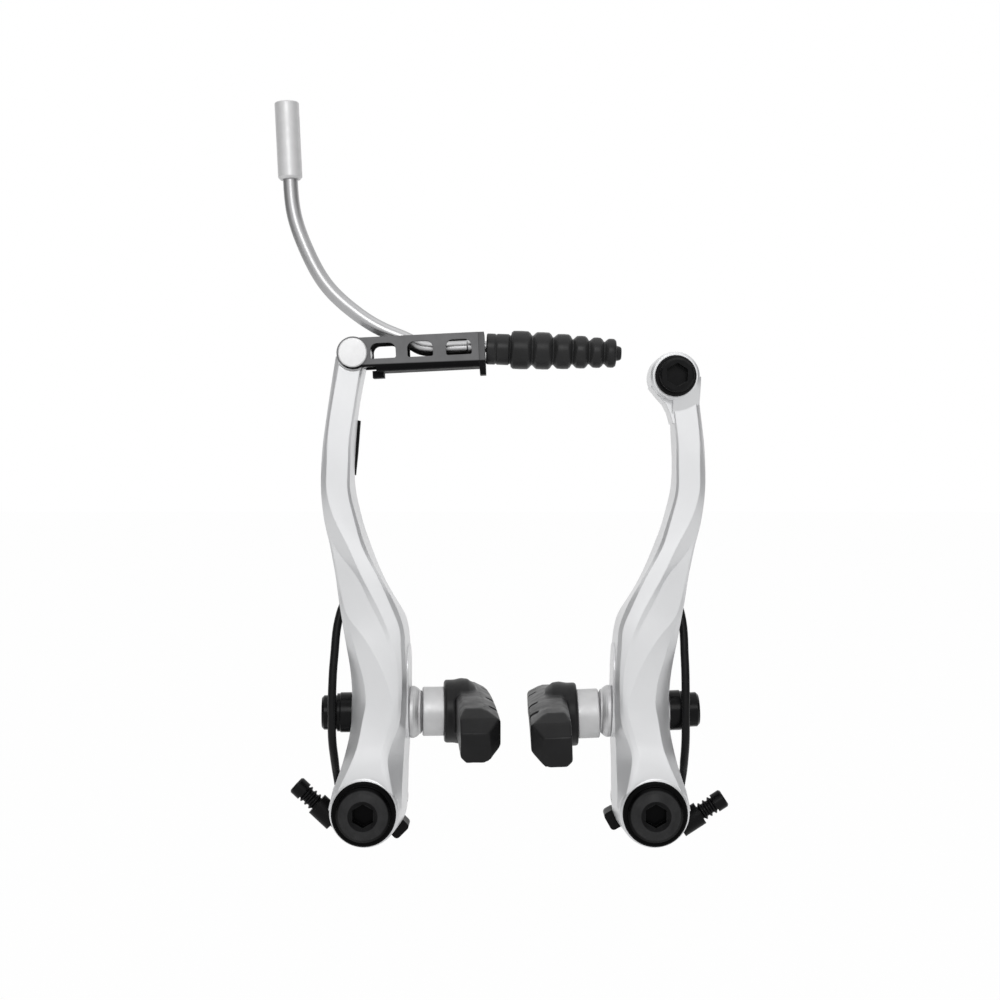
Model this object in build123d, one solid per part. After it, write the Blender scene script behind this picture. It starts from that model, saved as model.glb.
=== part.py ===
from build123d import *
import math
import os

os.makedirs("parts", exist_ok=True)

# Frame: X across the wheel, Y towards the bicycle frame, Z up, millimetres.
# The pivots lie on Z = 0, the rear faces of their bushes on Y = 0.
# Each side is drawn with its pivot at the origin and X pointing inwards.
PIVOT_SPACING = 71.1
RIGHT_LEAN = 1.3

# Pivot bush and mounting bolt
BUSH_R = 5.5
BUSH_BORE_R = 4.1
BUSH_LENGTH = 22.6
BUSH_FLANGE_R = 7.4
BUSH_FLANGE_T = 1.2
PIVOT_FIT = 0.05
BOLT_R = 2.94
BOLT_LENGTH = 18.0
BOLT_FLANGE_R = 7.95
BOLT_FLANGE_T = 1.3
BOLT_DOME_R = 6.9
BOLT_DOME_T = 2.2
HEX_AF = 5.0
HEX_DEPTH = 2.6
HEX_SINK_R = 3.65

# Arm
BOSS_REAR = -8.4
BOSS_FRONT = -22.5
BOSS_FRONT_R = 8.45
BOSS_REAR_R = 9.7
LAND_IN = 10.5
LAND_OUT = -2.6
LAND_W = 13.4
LAND_LOW = 23.0
LAND_HIGH = 33.5
SLOT_W = 7.6
SLOT_TRAVEL = 5.0
STEP_SKIN = -15.0
HOOK_R = 1.2
HOOK_X = -6.0
HOOK_Z = 56.6
HOOK_LENGTH = 5.0

# Link end of the left arm
LINK_X = -2.9
LINK_Z = 112.7
LINK_Z_DRAWN = 112.7
UPPER_ARM_FROM = 66.0
LEFT_BLANK_TOP = 112.0
RIGHT_BLANK_TOP = 104.5
LINK_TURN = 2.8
LINK_HEAD_R = 4.0
LINK_HEAD_FRONT = -19.6
LINK_HEAD_REAR = -11.4
LINK_SIDE_GAP = 0.1
LINK_EAR_R = 4.0
LINK_EAR_GAP = 0.45

# Anchor end of the right arm
ANCHOR_X = -2.65
ANCHOR_Z = LINK_Z - 5.7
ANCHOR_BOSS_R = 6.0
ANCHOR_FRONT = -22.0
ANCHOR_REAR = -10.0
ANCHOR_SKIRT_R = 9.2
ANCHOR_SKIRT_REAR = -19.3
NECK_FRONT = -19.4
NECK_REAR = -10.7
ANCHOR_BOLT_R = 2.94
ANCHOR_BOLT_LENGTH = 10.0
ANCHOR_WASHER_R = 5.05
ANCHOR_WASHER_T = 1.3
ANCHOR_HEAD_R = 4.2
ANCHOR_HEAD_T = 3.0

# Shoe: the seat centre is the point on the stud's axis that both dome washers turn about
SEAT_X = 3.7
STUD_Y = -10.5
STUD_Z = 22.9
STUD_R = 2.94
STUD_OUT = -13.7
STUD_IN = 18.6
DOME_IN_R = 6.5
DOME_IN_T = 2.4
DOME_IN_SPHERE = 11.0
DOME_OUT_R = 5.0
DOME_OUT_T = 1.0
DOME_OUT_SPHERE = 9.0
DOME_BORE_R = 3.9
SEAT_FIT = 0.02
SPACER_R = 6.15
SPACER_FROM = 9.9
SPACER_TO = 15.3
CUP_R = 5.0
CUP_FROM = -7.9
CUP_TO = -10.8
NUT_R = 4.3
NUT_COLLAR_R = 4.75
NUT_COLLAR_T = 0.7
NUT_END = -15.35
STUD_FIT = 0.02

# Brake pad
PAD_FLANGE_R = 7.9
PAD_FLANGE_T = 2.4
PAD_BACK = 18.0
PAD_FACE = 27.5
PAD_LAYER = 23.9
PAD_HALF_H = 5.6
PAD_FACE_TOP = 3.6
PAD_FACE_LOW = -2.4
PAD_NOSE = 7.0
PAD_NOSE_DROP = 5.5
PAD_LENGTH = 67.0
RIM_R = 290.0
GROOVE_W = 1.6
GROOVE_D = 2.2
GROOVE_AT = (-21.5, -10.0, 10.0, 21.5)
LEFT_SHOE_YAW = 4.6
SHOE_PITCH = -1.3
RIGHT_SHOE_TILT = 3.5

# Spring case, return spring and tension screw
CASE_REAR = -1.3
CASE_FRONT = -8.1
CASE_R = 9.4
CASE_WALL = 0.7
CASE_FLOOR = 1.3
CASE_FIT = 0.05
WIRE_R = 0.95
COIL_R = 7.3
COIL_REAR = -3.6
COIL_PITCH = 1.93
COIL_TURNS = 2
SPRING_LENGTHS = 10
WIRE_GAP = 0.45
TAIL_GAP = 0.55
SCREW_ARM = 10.6
SCREW_Y = -4.7
SCREW_BOSS_R = 3.0
SCREW_BOSS_FROM = 2.8
SCREW_BOSS_END = 9.0
SCREW_R = 1.75
SCREW_RIDGE_R = 2.3
SCREW_RIDGES = 3
SCREW_RIDGE_PITCH = 1.4
SCREW_HEAD_R = 2.4
SCREW_HEAD_T = 2.9
LEFT_SCREW_ANGLE = 43.0
RIGHT_SCREW_ANGLE = 33.0
LEFT_LUG_ANGLE = -45.0
RIGHT_LUG_ANGLE = -29.5
LUG_OUT = 2.7
RIGHT_LEG_IN = 0.9

# Lever link, drawn with its pivot at the origin and X along the channel
SHEET = 1.1
LINK_FRONT = LINK_HEAD_FRONT - LINK_SIDE_GAP - SHEET
LINK_REAR = LINK_HEAD_REAR + LINK_SIDE_GAP + SHEET
LINK_MID = (LINK_FRONT + LINK_REAR) / 2
LINK_TOP = 3.65
LINK_BOTTOM = -4.85
LINK_BEND_R = 1.5
LINK_WEB_FROM = 5.5
LINK_END = 32.4
LINK_END_T = 1.5
LINK_TAB = -6.7
STOP_FROM = 4.3
STOP_TO = 7.1
STOP_LOW = -6.25
WINDOW_L = 6.3
WINDOW_H = 3.8
WINDOW_V = 0.2
WINDOW_AT = (7.4, 16.55, 26.05)
RIVET_R = 2.0
RIVET_FIT = 0.05
RIVET_HEAD_R = 3.6
RIVET_HEAD_T = 1.0

# Noodle and boot, in the link's own directions
TUBE_R = 1.84
TUBE_BORE_R = 1.15
TIP_V = 0.3
TIP_COLLAR_R = 2.3
TIP_COLLAR_FROM = 27.9
TIP_NOSE_R = 1.4
TIP_NOSE_END = 36.1
TIP_FIT = 0.1
FERRULE_R = 3.0
FERRULE_LOW = 44.3
FERRULE_HIGH = 63.4
HOUSING_BORE_R = 2.55
HOUSING_BORE_L = 10.0
LINER_R = 1.1
LINER_BORE_R = 0.8
BOOT_FROM = 32.75
BOOT_V = -0.2
BOOT_DROOP = 4.8
BOOT_BORE_R = 2.1

HALF = PIVOT_SPACING / 2


def rod_y(radius, y0, y1, x=0.0, z=0.0):
    return Pos(x, (y0 + y1) / 2, z) * Rot(90, 0, 0) * Cylinder(radius, abs(y1 - y0))


def rod_x(radius, x0, x1, y=0.0, z=0.0):
    return Pos((x0 + x1) / 2, y, z) * Rot(0, 90, 0) * Cylinder(radius, abs(x1 - x0))


def turned_y(profile):
    # profile of (radius, y)
    return revolve(make_face(Polyline([(r, y, 0) for r, y in profile], close=True)), Axis.Y)


def turned_x(profile):
    # profile of (x, radius)
    return revolve(make_face(Polyline([(x, r, 0) for x, r in profile], close=True)), Axis.X)


def hex_y(across_flats, y0, depth):
    # hexagon that opens to the front at y0 and runs back by depth
    flat = Plane.XZ.offset(-y0) * RegularPolygon(across_flats / math.sqrt(3), 6, rotation=30)
    return extrude(flat, amount=-depth)


def box_between(x0, x1, y0, y1, z0, z1):
    middle = Pos((x0 + x1) / 2, (y0 + y1) / 2, (z0 + z1) / 2)
    return middle * Box(abs(x1 - x0), abs(y1 - y0), abs(z1 - z0))


def left(shape):
    return Pos(-HALF, 0, 0) * shape


def right(shape):
    return Pos(HALF, 0, 0) * mirror(shape, about=Plane.YZ)


def right_leaned(shape):
    return Pos(HALF, 0, 0) * Rot(0, RIGHT_LEAN, 0) * mirror(shape, about=Plane.YZ)


def node(name, shape):
    export_step(shape, "parts/" + name + ".step")


# Crease lines of the arm, bottom to top, as (z, x, y)
OUTER_EDGE = [
    (0, -9.0, -21.0), (4.4, -8.0, -20.6), (10.5, -5.95, -19.0), (15, -4.75, -17.6), (20.7, -3.75, -16.8),
    (26.8, -3.45, -16.5), (32.5, -3.75, -16.6), (44, -5.5, -17.2), (51, -6.6, -17.5), (58, -7.6, -17.0),
    (65.8, -9.1, -16.9), (72, -10.35, -17.9), (79.4, -11.0, -18.5), (86, -10.85, -18.6), (98.3, -9.4, -18.6),
    (113, -7.15, -18.6),
]
SCALLOP = [
    (0, -8.3, -22.2), (4.4, -6.9, -22.2), (10, -4.2, -21.9), (16.4, -1.7, -21.1), (22.5, -0.5, -20.5),
    (26, 0.2, -20.4), (30, 0.1, -20.3), (36, -1.4, -19.9), (42, -3.1, -19.1), (50, -6.1, -17.75),
    (58, -7.4, -17.1), (65.8, -8.9, -17.0), (72, -10.2, -18.0), (79.4, -10.85, -18.65), (113, -7.0, -18.75),
]
RIDGE = [
    (0, 5.4, -22.45), (6, 5.0, -22.4), (13, 4.0, -21.8), (18, 5.2, -21.2), (25.5, 7.0, -20.95),
    (31, 5.7, -20.9), (36.5, 3.4, -20.75), (42, 0.2, -20.2), (49, -5.0, -18.4), (58, -7.0, -17.25),
    (65.8, -8.7, -17.15), (72, -10.0, -18.15), (79.4, -10.65, -18.8), (113, -6.8, -18.9),
]
STEP_FOOT = [
    (0, 6.2, -22.45), (6, 5.6, -22.4), (13, 4.5, -21.75), (18, 5.8, -21.1), (25.5, 7.7, -20.8),
    (31, 7.3, -20.75), (38, 6.4, -20.75), (45, 4.4, -20.4), (49.7, 1.9, -19.6), (57.9, -2.4, -18.2),
    (61.8, -5.6, -17.5), (66, -8.2, -17.3), (72, -9.75, -18.4), (79.4, -10.4, -19.0), (113, -6.55, -19.1),
]
STEP_TOP = [
    (0, 7.0, -22.4), (6, 6.2, -22.3), (13, 5.1, -21.65), (18, 6.4, -21.0), (25.5, 8.25, -20.65),
    (31, 8.3, -20.6), (38, 7.6, -20.7), (45, 5.5, -20.7), (49.7, 3.4, -20.6), (57.9, -0.9, -20.4),
    (65.5, -4.4, -20.2), (72, -7.6, -20.0), (78.5, -9.5, -19.8), (88.8, -9.4, -19.8), (113, -5.95, -19.8),
]
INNER_CREASE = [
    (0, 7.7, -22.3), (4, 7.2, -22.2), (9, 6.2, -21.9), (13, 5.8, -21.5), (17.5, 7.0, -20.8),
    (22, 8.7, -20.45),
    (31, 9.2, -20.3), (44, 8.7, -20.3), (50, 6.6, -20.3), (58, 3.0, -20.2), (65.5, -0.9, -20.0),
    (72, -2.7, -19.9), (79, -4.3, -19.8), (89, -4.1, -19.8), (97, -3.1, -19.8), (113, -0.5, -19.8),
]
INNER_EDGE = [
    (0, 9.0, -19.8), (6, 9.1, -18.8), (13, 9.4, -17.4), (18, 9.7, -17.6), (24, 9.9, -18.3),
    (31, 10.1, -18.7), (44, 9.6, -18.9), (50, 7.7, -18.9), (58, 3.5, -19.0), (65.5, -0.1, -19.0),
    (72, -2.0, -19.0), (79, -3.7, -19.0), (89, -3.65, -19.0), (97, -2.7, -19.0), (113, -0.05, -19.0),
]
INNER_WALL = [
    (0, 9.8, -9.4), (10.5, 10.1, -9.3), (15.3, 10.2, -6.4), (23, 10.25, -5.6), (31, 10.4, -6.2),
    (40, 10.4, -8.6), (45.9, 9.8, -9.6), (49, 8.4, -9.9), (53, 6.0, -10.2), (58.5, 3.2, -10.4),
    (65.1, 0.6, -10.7), (70.7, -1.3, -10.8), (76.2, -2.6, -10.9), (82, -3.5, -11.0), (95.5, -2.75, -11.0),
    (113, 0.2, -11.0),
]
REAR_DROP = 1.0
REAR_BEVEL = 0.9
STATIONS = (
    0.5, 3.5, 7, 10.5, 13, 15.5, 17.5, 19.5, 22.5, 26, 29.5, 33, 37, 41, 44.5, 47.5, 50.5, 54, 58, 62, 66,
    70, 74, 79, 85, 91, 97, 103, 108,
)


def along(guide, z):
    # smooth curve through the guide's points, without overshoot, read at height z
    for i in range(len(guide) - 1):
        if z <= guide[i + 1][0]:
            break
    z0, z1 = guide[i][0], guide[i + 1][0]
    t = (z - z0) / (z1 - z0)
    result = []
    for axis in (1, 2):
        step = (guide[i + 1][axis] - guide[i][axis]) / (z1 - z0)
        slopes = []
        for j in (i, i + 1):
            if j == 0 or j == len(guide) - 1:
                slopes.append(step)
                continue
            before = (guide[j][axis] - guide[j - 1][axis]) / (guide[j][0] - guide[j - 1][0])
            after = (guide[j + 1][axis] - guide[j][axis]) / (guide[j + 1][0] - guide[j][0])
            slopes.append(0.0 if before * after <= 0 else 2 * before * after / (before + after))
        h = z1 - z0
        a = guide[i][axis]
        b = guide[i + 1][axis]
        value = a * (1 + 2 * t) * (1 - t) ** 2 + h * slopes[0] * t * (1 - t) ** 2
        value += b * t * t * (3 - 2 * t) + h * slopes[1] * t * t * (t - 1)
        result.append(value)
    return result


def stretched(z):
    # heights above the spring hook follow the link pivot
    if z <= UPPER_ARM_FROM:
        return z
    stretch = (LINK_Z - UPPER_ARM_FROM) / (LINK_Z_DRAWN - UPPER_ARM_FROM)
    return UPPER_ARM_FROM + (z - UPPER_ARM_FROM) * stretch


def arm_section(z):
    # corners of the forged section at drawn height z, outer edge first, then the front, then the rear
    guides = (OUTER_EDGE, SCALLOP, RIDGE, STEP_FOOT, STEP_TOP, INNER_CREASE, INNER_EDGE)
    front = [tuple(along(guide, z)) for guide in guides]
    wall_x, wall_y = along(INNER_WALL, z)
    outer_x = front[0][0]
    rear = [(wall_x, wall_y), (wall_x - REAR_BEVEL, wall_y + REAR_DROP)]
    rear.append((outer_x + 0.5 + REAR_BEVEL, wall_y + REAR_DROP))
    rear.append((outer_x + 0.5, wall_y))
    return [(x, y, stretched(z)) for x, y in front + rear]


def forged_blank(top):
    # one ruled strip between each pair of crease lines, closed at both ends
    heights = [z for z in STATIONS if z < top - 1] + [top]
    sections = [arm_section(z) for z in heights]
    corners = len(sections[0])
    creases = [Spline([s[i] for s in sections]) for i in range(corners)]
    strips = [Face.make_surface_from_curves(creases[i], creases[(i + 1) % corners]) for i in range(corners)]
    ends = [make_face(Polyline(s, close=True)).face() for s in (sections[0], sections[-1])]
    return Solid(Shell(strips + ends))


def pivot_boss():
    # tapered barrel with an eased front rim
    return turned_y([
        (0, BOSS_REAR), (BOSS_REAR_R - 0.5, BOSS_REAR), (BOSS_REAR_R, BOSS_REAR - 0.6),
        (BOSS_FRONT_R + 0.15, BOSS_FRONT + 0.9), (BOSS_FRONT_R - 0.15, BOSS_FRONT + 0.3),
        (BOSS_FRONT_R - 0.6, BOSS_FRONT), (0, BOSS_FRONT),
    ])


def obround_x(width, z0, z1, x0, x1, y):
    # slot outline with round ends, standing on Z, cut or raised along X
    middle = box_between(x0, x1, y - width / 2, y + width / 2, z0, z1)
    return middle + rod_x(width / 2, x0, x1, y, z0) + rod_x(width / 2, x0, x1, y, z1)


# Return spring: tail at the screw, coil around the bush, leg past the shoe nut to the hook pin
LEG = [
    (-8.1, -9.6, 6.2), (-8.2, -13.8, 11.5), (-8.45, -16.5, 17.0), (-8.5, -17.0, 22.9), (-8.45, -16.7, 29.0),
    (-8.1, -15.6, 37.0), (-6.8, -13.8, 48.0), (-4.3, -12.5, 54.0), (-3.0, -12.0, 58.4),
]


LEG_BOW = (0, 0.3, 0.7, 0.95, 1, 0.9, 0.55, 0.2, 0)


def leg_line(inward):
    # the middle of the leg stands further in by the given amount
    return [(x + inward * bow, y, z) for (x, y, z), bow in zip(LEG, LEG_BOW)]


def polar(r, degrees, y):
    return (r * math.cos(math.radians(degrees)), y, r * math.sin(math.radians(degrees)))


def tail_line(tail):
    # the wire turns from straight out, in front of the screw's tip, into the coil
    bend = ((10.8, 4), (9.6, 0), (8.45, -8), (7.6, -20))
    return [polar(r, tail + d, COIL_REAR) for r, d in bend]


def coil_line(tail):
    first = tail - 36
    sweep_angle = first - 180 + 360 * COIL_TURNS
    steps = 13 * COIL_TURNS
    points = []
    for i in range(steps + 1):
        part = i / steps
        y = COIL_REAR - COIL_PITCH * sweep_angle / 360 * part
        points.append(polar(COIL_R, first - sweep_angle * part, y))
    return points


def wire(points, radius, lengths=1):
    # drawn as one line and swept in lengths, so that no face of a long wire is long
    line = Spline(points)
    path = line
    if lengths > 1:
        path = Wire([line.trim(i / lengths, (i + 1) / lengths) for i in range(lengths)])
    start = Plane(origin=path @ 0, z_dir=path % 0)
    return sweep(start * Circle(radius), path=path)


def tail_angle(screw_angle):
    return 278.0 - screw_angle


def arm(top):
    body = forged_blank(top) + pivot_boss()
    body = body + obround_x(LAND_W, LAND_LOW, LAND_HIGH, LAND_IN - 4, LAND_IN, STUD_Y)
    return body


def finish_arm(body, leg):
    body = body - rod_y(BUSH_R + PIVOT_FIT, BOSS_FRONT - 3, 1)
    body = body - obround_x(LAND_W - 1.6, STUD_Z - 1.6, STUD_Z + 1.6, LAND_OUT - 9, LAND_OUT, STUD_Y)
    low = STUD_Z - SLOT_TRAVEL / 2
    high = STUD_Z + SLOT_TRAVEL / 2
    body = body - obround_x(SLOT_W, low, high, LAND_OUT - 2, LAND_IN + 2, STUD_Y)
    step = Plane.XZ.offset(-STEP_SKIN) * make_face(Polyline([
        (-14, 42), (-4.6, 42), (-1.7, 51.5), (-1.7, 59), (-3.4, 61), (-14, 61),
    ], close=True))
    body = body - extrude(step, amount=-20)
    leg_start = [polar(COIL_R, a, COIL_REAR - COIL_PITCH * 2.1) for a in (205, 180)]
    return body - wire(leg_start + leg, WIRE_R + WIRE_GAP)


left_blank = arm(LEFT_BLANK_TOP)
left_blank = left_blank + rod_y(LINK_HEAD_R, LINK_HEAD_FRONT, LINK_HEAD_REAR, LINK_X, LINK_Z)
for y0, y1 in ((LINK_HEAD_FRONT, LINK_HEAD_FRONT - 6), (LINK_HEAD_REAR, LINK_HEAD_REAR + 6)):
    left_blank = left_blank - rod_y(LINK_EAR_R + LINK_EAR_GAP, y0, y1, LINK_X, LINK_Z)
left_blank = left_blank - rod_y(RIVET_R + RIVET_FIT, -30, 0, LINK_X, LINK_Z)
left_arm = finish_arm(left_blank, leg_line(0))

right_blank = arm(RIGHT_BLANK_TOP)
anchor = turned_y([
    (0, ANCHOR_REAR), (ANCHOR_BOSS_R - 0.5, ANCHOR_REAR), (ANCHOR_BOSS_R, ANCHOR_REAR - 0.5),
    (ANCHOR_BOSS_R, ANCHOR_FRONT + 0.5), (ANCHOR_BOSS_R - 0.5, ANCHOR_FRONT), (0, ANCHOR_FRONT),
])
skirt = turned_y([
    (0, ANCHOR_SKIRT_REAR), (ANCHOR_SKIRT_R, ANCHOR_SKIRT_REAR), (ANCHOR_BOSS_R - 0.2, ANCHOR_FRONT + 0.3),
    (0, ANCHOR_FRONT + 0.3),
])
skirt = Pos(ANCHOR_X, 0, ANCHOR_Z) * skirt
skirt = skirt & box_between(-9.0, -2.3, -30, 0, ANCHOR_Z - 12, ANCHOR_Z)
right_blank = right_blank + skirt
neck = (
    (3.0, -2.6), (1.2, -4.8), (-0.6, -6.7), (-1.75, -8.8), (-2.5, -11.5),
    (-5.0, -11.5), (-5.0, -1.0), (2.5, -1.0),
)
neck_face = make_face(Polyline([(x, ANCHOR_Z + z) for x, z in neck], close=True))
right_blank = right_blank + extrude(Plane.XZ.offset(-NECK_FRONT) * neck_face, amount=NECK_FRONT - NECK_REAR)
right_blank = right_blank + Pos(ANCHOR_X, 0, ANCHOR_Z) * anchor
anchor_hole = rod_y(ANCHOR_BOLT_R + 0.02, ANCHOR_FRONT - 1, ANCHOR_REAR - 1.5, ANCHOR_X, ANCHOR_Z)
right_blank = right_blank - anchor_hole
right_arm = finish_arm(right_blank, leg_line(RIGHT_LEG_IN))

node("left_arm", left(left_arm))
node("right_arm", right_leaned(right_arm))

# Pivot hardware
bush = turned_y([
    (BUSH_BORE_R, 0), (BUSH_FLANGE_R, 0), (BUSH_FLANGE_R, -BUSH_FLANGE_T), (BUSH_R, -BUSH_FLANGE_T),
    (BUSH_R, -BUSH_LENGTH), (BUSH_BORE_R, -BUSH_LENGTH),
])
head_back = -BUSH_LENGTH
bolt_tip = head_back + BOLT_LENGTH
flange_front = head_back - BOLT_FLANGE_T
dome_front = flange_front - BOLT_DOME_T
mounting_bolt = turned_y([
    (0, bolt_tip), (BOLT_R - 0.6, bolt_tip), (BOLT_R, bolt_tip - 0.6),
    (BOLT_R, head_back), (BOLT_FLANGE_R - 0.2, head_back), (BOLT_FLANGE_R, head_back - 0.25),
    (BOLT_FLANGE_R, flange_front + 0.35), (BOLT_FLANGE_R - 0.35, flange_front), (BOLT_DOME_R, flange_front),
    (BOLT_DOME_R - 0.2, flange_front - 0.6), (BOLT_DOME_R - 0.7, flange_front - 1.15),
    (BOLT_DOME_R - 1.5, flange_front - 1.6), (BOLT_DOME_R - 2.4, flange_front - 1.95),
    (HEX_SINK_R, dome_front), (0, dome_front),
])
sink = turned_y([
    (0, dome_front - 0.2), (HEX_SINK_R, dome_front - 0.2), (HEX_SINK_R, dome_front),
    (2.75, dome_front + 0.7), (0, dome_front + 0.7),
])
mounting_bolt = mounting_bolt - sink - hex_y(HEX_AF, dome_front, HEX_DEPTH + 0.5)
for side, place in (("left", left), ("right", right)):
    node(side + "_pivot_bush", place(bush))
    node(side + "_mounting_bolt", place(mounting_bolt))


def screw_frame(angle):
    # origin at the screw axis's nearest point to the pivot, Z along the screw towards its head
    a = math.radians(angle)
    out = Vector(-math.cos(a), 0, math.sin(a))
    foot = Vector(-math.sin(a), 0, -math.cos(a)) * SCREW_ARM + Vector(0, SCREW_Y, 0)
    return Plane(origin=foot, x_dir=Vector(0, 1, 0), z_dir=out)


def spring_case(screw_angle, lug_angle):
    cup = turned_y([
        (BUSH_R + CASE_FIT, CASE_REAR), (CASE_R - 0.5, CASE_REAR), (CASE_R, CASE_REAR - 0.5),
        (CASE_R, CASE_FRONT), (CASE_R - CASE_WALL, CASE_FRONT), (CASE_R - CASE_WALL, CASE_REAR - CASE_FLOOR),
        (BUSH_R + CASE_FIT, CASE_REAR - CASE_FLOOR),
    ])
    inside = rod_y(CASE_R - CASE_WALL, CASE_REAR - CASE_FLOOR, CASE_FRONT - 1)
    lug = box_between(CASE_R - 0.6, CASE_R + LUG_OUT, CASE_REAR - 0.6, CASE_FRONT + 0.6, -2.4, 2.4)
    lug = Rot(0, -lug_angle, 0) * lug
    lug = fillet(lug.edges().filter_by(Axis.Y), 1.0)
    frame = screw_frame(screw_angle)
    boss_length = SCREW_BOSS_END - SCREW_BOSS_FROM
    boss = frame * Pos(0, 0, SCREW_BOSS_FROM + boss_length / 2) * Cylinder(SCREW_BOSS_R, boss_length)
    gusset_half = SCREW_BOSS_R - 0.3
    gusset = box_between(-gusset_half, gusset_half, -4.2, 0, SCREW_BOSS_FROM, SCREW_BOSS_END - 3.0)
    gusset = frame * gusset
    case = cup + lug + (boss + gusset - inside)
    case = case - frame * Pos(0, 0, SCREW_BOSS_END / 2) * Cylinder(SCREW_R + CASE_FIT, SCREW_BOSS_END + 1.0)
    tail = tail_angle(screw_angle)
    channel = [polar(12.4, tail + 9, COIL_REAR)] + tail_line(tail) + [polar(COIL_R, tail - 36, COIL_REAR)]
    case = case - wire(channel, WIRE_R + TAIL_GAP)
    return case - box_between(-CASE_R - 1, -4.0, CASE_FRONT - 1, -5.0, -1.0, CASE_R + 1)


def tension_screw(angle):
    tip = 0.4
    start = SCREW_BOSS_END + 0.25
    shank = [(0, tip), (SCREW_R - 0.4, tip), (SCREW_R, tip + 0.4), (SCREW_R, start)]
    for i in range(SCREW_RIDGES):
        s = start + i * SCREW_RIDGE_PITCH
        shank += [
            (SCREW_R, s + 0.1), (SCREW_RIDGE_R, s + 0.45), (SCREW_RIDGE_R, s + 0.75), (SCREW_R, s + 1.1),
        ]
    head = start + SCREW_RIDGES * SCREW_RIDGE_PITCH
    end = head + SCREW_HEAD_T
    shank += [
        (SCREW_R, head), (SCREW_HEAD_R, head), (SCREW_HEAD_R, end - 0.4), (SCREW_HEAD_R - 0.4, end),
        (0, end),
    ]
    body = revolve(make_face(Polyline([(r, 0, s) for r, s in shank], close=True)), Axis.Z)
    body = body - box_between(-0.4, 0.4, -1.6, 1.6, end - 1.2, end + 1)
    body = body - box_between(-1.6, 1.6, -0.4, 0.4, end - 1.2, end + 1)
    return screw_frame(angle) * body


def return_spring(screw_angle, leg):
    tail = tail_angle(screw_angle)
    return wire(tail_line(tail) + coil_line(tail) + leg, WIRE_R, SPRING_LENGTHS)


hook_pin = rod_y(HOOK_R, STEP_SKIN, STEP_SKIN + HOOK_LENGTH, HOOK_X, HOOK_Z)
hook_head = rod_y(HOOK_R + 0.6, STEP_SKIN + HOOK_LENGTH, STEP_SKIN + HOOK_LENGTH + 0.8, HOOK_X, HOOK_Z)
hook_pin = hook_pin + hook_head

node("left_spring_case", left(spring_case(LEFT_SCREW_ANGLE, LEFT_LUG_ANGLE)))
node("right_spring_case", right(spring_case(RIGHT_SCREW_ANGLE, RIGHT_LUG_ANGLE)))
node("left_tension_screw", left(tension_screw(LEFT_SCREW_ANGLE)))
node("right_tension_screw", right(tension_screw(RIGHT_SCREW_ANGLE)))
node("left_return_spring", left(return_spring(LEFT_SCREW_ANGLE, leg_line(0))))
right_spring = return_spring(RIGHT_SCREW_ANGLE, leg_line(RIGHT_LEG_IN))
node("right_return_spring", right_leaned(right_spring))
for side, place in (("left", left), ("right", right_leaned)):
    node(side + "_spring_hook_pin", place(hook_pin))


# Shoe, drawn from the seat centre with X along the stud towards the rim
def on_sphere(radius, r):
    return math.sqrt(radius * radius - r * r)


def cap_profile(sphere, r_outer, r_inner, side):
    steps = 5
    radii = [r_outer + (r_inner - r_outer) * i / steps for i in range(steps + 1)]
    return [(side * on_sphere(sphere, r), r) for r in radii]


inner_base = LAND_IN - SEAT_X
outer_base = LAND_OUT - SEAT_X
inner_dome = turned_x(
    [(inner_base, DOME_BORE_R), (inner_base, DOME_IN_R - 0.3), (inner_base + 0.3, DOME_IN_R)]
    + [(inner_base + DOME_IN_T - 1.4, DOME_IN_R), (inner_base + DOME_IN_T - 0.75, DOME_IN_R - 0.3)]
    + [(inner_base + DOME_IN_T - 0.25, DOME_IN_R - 0.7), (inner_base + DOME_IN_T, DOME_IN_R - 1.02)]
    + cap_profile(DOME_IN_SPHERE, 5.4, DOME_BORE_R, 1)
)
outer_dome = turned_x(
    [(outer_base, DOME_BORE_R), (outer_base, DOME_OUT_R), (outer_base - DOME_OUT_T, DOME_OUT_R)]
    + [(outer_base - DOME_OUT_T, 4.65)]
    + cap_profile(DOME_OUT_SPHERE, 4.6, DOME_BORE_R, -1)
)
spacer = turned_x([
    (SPACER_FROM, STUD_R + STUD_FIT), (SPACER_TO, STUD_R + STUD_FIT), (SPACER_TO, SPACER_R - 0.2),
    (SPACER_TO - 0.2, SPACER_R), (SPACER_FROM + 0.25, SPACER_R), (SPACER_FROM, SPACER_R - 0.25),
]) - Rot(0, 90, 0) * Sphere(DOME_IN_SPHERE + SEAT_FIT)
cup_washer = turned_x([
    (CUP_FROM, STUD_R + STUD_FIT), (CUP_TO, STUD_R + STUD_FIT), (CUP_TO, CUP_R - 0.2), (CUP_TO + 0.2, CUP_R),
    (CUP_FROM, CUP_R),
]) - Rot(0, 90, 0) * Sphere(DOME_OUT_SPHERE + SEAT_FIT)
nut = turned_x([
    (CUP_TO, 0), (CUP_TO, NUT_COLLAR_R), (CUP_TO - NUT_COLLAR_T, NUT_COLLAR_R),
    (CUP_TO - NUT_COLLAR_T, NUT_R),
    (NUT_END + 0.6, NUT_R), (NUT_END, NUT_R - 0.6), (NUT_END, 0),
])
nut = nut - rod_x(STUD_R + STUD_FIT, STUD_OUT - 0.1, 0)
socket = Plane(origin=(NUT_END, 0, 0), z_dir=(1, 0, 0)) * RegularPolygon(HEX_AF / math.sqrt(3), 6)
nut = nut - extrude(socket, amount=1.6)
stud = turned_x([
    (STUD_OUT, 0), (STUD_OUT, STUD_R - 0.5), (STUD_OUT + 0.5, STUD_R), (STUD_IN, STUD_R), (STUD_IN, 0),
])


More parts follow.
